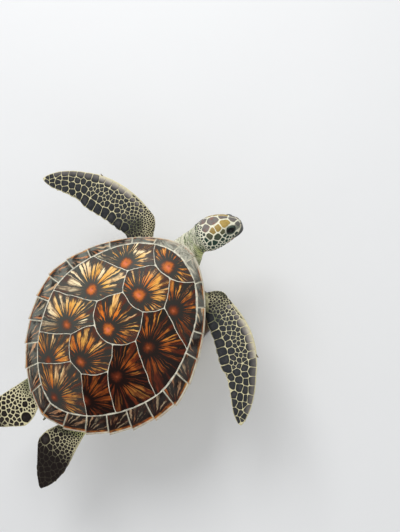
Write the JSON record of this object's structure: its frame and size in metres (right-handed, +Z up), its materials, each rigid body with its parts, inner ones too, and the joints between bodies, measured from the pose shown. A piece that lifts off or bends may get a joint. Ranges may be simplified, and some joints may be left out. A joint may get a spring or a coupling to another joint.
{
  "type": "sea turtle model",
  "caption": "Life-size still model of a young green sea turtle swimming, with rayed shell scutes, raised head and spread flippers, on a plain base with two short rods.",
  "frame": {"origin": "centre of the stand base's underside", "axes": "+Z up; the head faces -Y; the turtle's left side is +X"},
  "size_m": [0.6666, 0.7261, 0.3028],
  "materials": {
    "scute": "wet gloss, rayed",
    "marginal_scute": "satin, streaked",
    "skin": "scaled, satin",
    "plastron": "satin, pale",
    "beak": "satin horn",
    "eye": "wet gloss",
    "claw": "satin horn",
    "stand_base": "dark satin",
    "stand_rod": "brushed"
  },
  "bodies": {
    "root": {"costal_left_1": "scute", "costal_left_2": "scute", "costal_left_3": "scute", "costal_left_4": "scute", "costal_right_1": "scute", "costal_right_2": "scute", "costal_right_3": "scute", "costal_right_4": "scute", "eye_left": "eye", "eye_right": "eye", "front_arm_left": "skin", "front_arm_right": "skin", "front_claw_left": "claw", "front_claw_right": "claw", "front_flipper_left": "skin", "front_flipper_right": "skin", "head": "skin", "hind_claw_left": "claw", "hind_claw_right": "claw", "hind_flipper_left": "skin", "hind_flipper_right": "skin", "lower_jaw": "beak", "marginal_left_1": "marginal_scute", "marginal_left_10": "marginal_scute", "marginal_left_11": "marginal_scute", "marginal_left_2": "marginal_scute", "marginal_left_3": "marginal_scute", "marginal_left_4": "marginal_scute", "marginal_left_5": "marginal_scute", "marginal_left_6": "marginal_scute", "marginal_left_7": "marginal_scute", "marginal_left_8": "marginal_scute", "marginal_left_9": "marginal_scute", "marginal_right_1": "marginal_scute", "marginal_right_10": "marginal_scute", "marginal_right_11": "marginal_scute", "marginal_right_2": "marginal_scute", "marginal_right_3": "marginal_scute", "marginal_right_4": "marginal_scute", "marginal_right_5": "marginal_scute", "marginal_right_6": "marginal_scute", "marginal_right_7": "marginal_scute", "marginal_right_8": "marginal_scute", "marginal_right_9": "marginal_scute", "neck": "skin", "nuchal": "marginal_scute", "plastron": "plastron", "stand_base": "stand_base", "stand_rod_front": "stand_rod", "stand_rod_rear": "stand_rod", "supracaudal_left": "marginal_scute", "supracaudal_right": "marginal_scute", "tail": "skin", "trunk": "skin", "upper_beak": "beak", "vertebral_1": "scute", "vertebral_2": "scute", "vertebral_3": "scute", "vertebral_4": "scute", "vertebral_5": "scute"}
  },
  "joints": []
}
